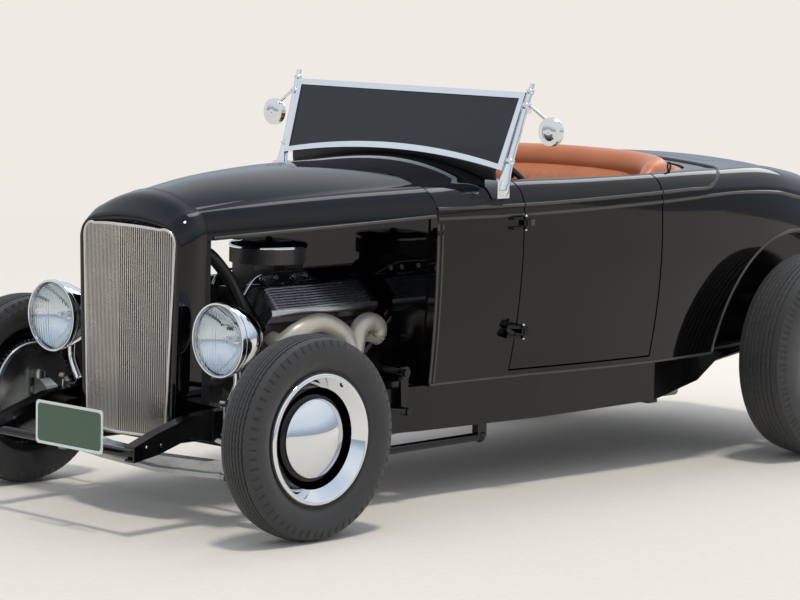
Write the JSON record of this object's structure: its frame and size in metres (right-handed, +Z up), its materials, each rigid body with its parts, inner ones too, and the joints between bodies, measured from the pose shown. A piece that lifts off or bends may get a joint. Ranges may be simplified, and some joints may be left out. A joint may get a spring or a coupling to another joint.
{
  "type": "hot rod",
  "caption": "Fenderless two-seat hot rod roadster with open vee engine, dropped front axle, chopped windshield and tan bench seat; wheels roll and steer, doors and deck lid open.",
  "frame": {"origin": "on the ground, midway along the car and on its middle plane", "axes": "+X to the car's left, the front faces -Y, +Z up"},
  "size_m": [1.6302, 3.792, 1.4228],
  "materials": {
    "black_paint": "deep gloss black paint",
    "frame_black": "satin black paint",
    "axle_grey": "plated grey steel",
    "engine_paint": "painted cast iron",
    "polished_aluminium": "polished",
    "coated_iron": "pale ceramic coat",
    "chrome": "bright plating",
    "stainless": "polished stainless",
    "lens_glass": "clear",
    "tan_leather": "tan with sewn channels",
    "black_plastic": "gloss black",
    "red_plastic": "clear red",
    "plate_paint": "blank green sheet in a pale border",
    "tyre_rubber": "black rubber",
    "wheel_paint": "gloss black steel"
  },
  "bodies": {
    "root": {"body_tub": "black_paint", "hood_top": "black_paint", "grille_shell": "black_paint", "firewall": "black_paint", "frame_rails": "frame_black", "gearbox_crossmember": "frame_black", "wishbones": "frame_black", "rear_links": "frame_black", "fuel_tank": "frame_black", "floor_pan": "frame_black", "rear_axle": "frame_black", "steering_column": "frame_black", "dashboard": "frame_black", "radiator": "frame_black", "front_axle": "axle_grey", "front_spring": "axle_grey", "front_shocks": "axle_grey", "engine_block": "engine_paint", "valve_covers": "polished_aluminium", "carburettors": "polished_aluminium", "engine_front": "polished_aluminium", "exhaust": "coated_iron", "headlamps": "chrome", "windshield_frame": "chrome", "mirrors": "chrome", "grille_insert": "stainless", "headlamp_lenses": "lens_glass", "windshield_glass": "lens_glass", "seat_cushion": "tan_leather", "seat_back": "tan_leather", "floor_controls": "black_plastic", "tail_lamps": "red_plastic", "number_plate": "plate_paint"},
    "door_left": {"door_left": "black_paint"},
    "door_right": {"door_right": "black_paint"},
    "deck_lid": {"deck_lid": "black_paint"},
    "steering_wheel": {"steering_wheel": "black_plastic"},
    "pitman_arm": {"pitman_arm": "frame_black"},
    "drag_link": {"drag_link": "frame_black"},
    "tie_rod": {"tie_rod": "frame_black"},
    "knuckle_left": {"knuckle_left": "axle_grey"},
    "knuckle_right": {"knuckle_right": "axle_grey"},
    "wheel_front_left": {"tyre_front_left": "tyre_rubber", "wheel_front_left": "wheel_paint", "wheel_trim_front_left": "chrome"},
    "wheel_front_right": {"tyre_front_right": "tyre_rubber", "wheel_front_right": "wheel_paint", "wheel_trim_front_right": "chrome"},
    "wheel_rear_left": {"tyre_rear_left": "tyre_rubber", "wheel_rear_left": "wheel_paint", "wheel_trim_rear_left": "chrome"},
    "wheel_rear_right": {"tyre_rear_right": "tyre_rubber", "wheel_rear_right": "wheel_paint", "wheel_trim_rear_right": "chrome"}
  },
  "joints": [
    {"name": "wheel_front_left", "type": "hinge", "parent": "knuckle_left", "child": "wheel_front_left", "pos_m": [0.711, -1.43, 0.329], "axis": [1, 0, 0], "continuous": true},
    {"name": "wheel_rear_left", "type": "hinge", "parent": "root", "child": "wheel_rear_left", "pos_m": [0.711, 1.262, 0.384], "axis": [1, 0, 0], "continuous": true},
    {"name": "wheel_front_right", "type": "hinge", "parent": "knuckle_right", "child": "wheel_front_right", "pos_m": [-0.711, -1.43, 0.329], "axis": [1, 0, 0], "continuous": true},
    {"name": "wheel_rear_right", "type": "hinge", "parent": "root", "child": "wheel_rear_right", "pos_m": [-0.711, 1.262, 0.384], "axis": [1, 0, 0], "continuous": true},
    {"name": "steer_left", "type": "hinge", "parent": "root", "child": "knuckle_left", "pos_m": [0.618, -1.43, 0.329], "axis": [0, 0, 1], "range_deg": [-26, 26]},
    {"name": "steer_right", "type": "hinge", "parent": "root", "child": "knuckle_right", "pos_m": [-0.618, -1.43, 0.329], "axis": [0, 0, 1], "range_deg": [-26, 26]},
    {"name": "tie_rod_swing", "type": "hinge", "parent": "knuckle_left", "child": "tie_rod", "pos_m": [0.618, -1.29, 0.225], "axis": [0, 0, 1], "range_deg": [-26, 26]},
    {"name": "drag_link_swing", "type": "hinge", "parent": "knuckle_left", "child": "drag_link", "pos_m": [0.428, -1.43, 0.411], "axis": [0, 0, 1], "range_deg": [-26, 26]},
    {"name": "pitman_swing", "type": "hinge", "parent": "root", "child": "pitman_arm", "pos_m": [0.457, -0.74, 0.45], "axis": [1, 0, 0], "range_deg": [-38.1, 38.1]},
    {"name": "steering_wheel_turn", "type": "hinge", "parent": "root", "child": "steering_wheel", "pos_m": [0.28, -0.12, 1.032], "axis": [0, 0.766, 0.6428], "range_deg": [-390, 390]},
    {"name": "door_left_hinge", "type": "hinge", "parent": "root", "child": "door_left", "pos_m": [0.57, -0.26, 0.75], "axis": [0, 0, -1], "range_deg": [0, 65]},
    {"name": "door_right_hinge", "type": "hinge", "parent": "root", "child": "door_right", "pos_m": [-0.57, -0.26, 0.75], "axis": [0, 0, 1], "range_deg": [0, 65]},
    {"name": "deck_lid_hinge", "type": "hinge", "parent": "root", "child": "deck_lid", "pos_m": [0, 0.989, 1.1146], "axis": [1, 0, 0], "range_deg": [0, 50]}
  ],
  "couplings": [
    {"joint": "steer_right", "follows": "steer_left", "ratio": 1},
    {"joint": "tie_rod_swing", "follows": "steer_left", "ratio": -1},
    {"joint": "drag_link_swing", "follows": "steer_left", "ratio": -1},
    {"joint": "pitman_swing", "follows": "steer_left", "ratio": -1.4615},
    {"joint": "steering_wheel_turn", "follows": "steer_left", "ratio": 15}
  ]
}
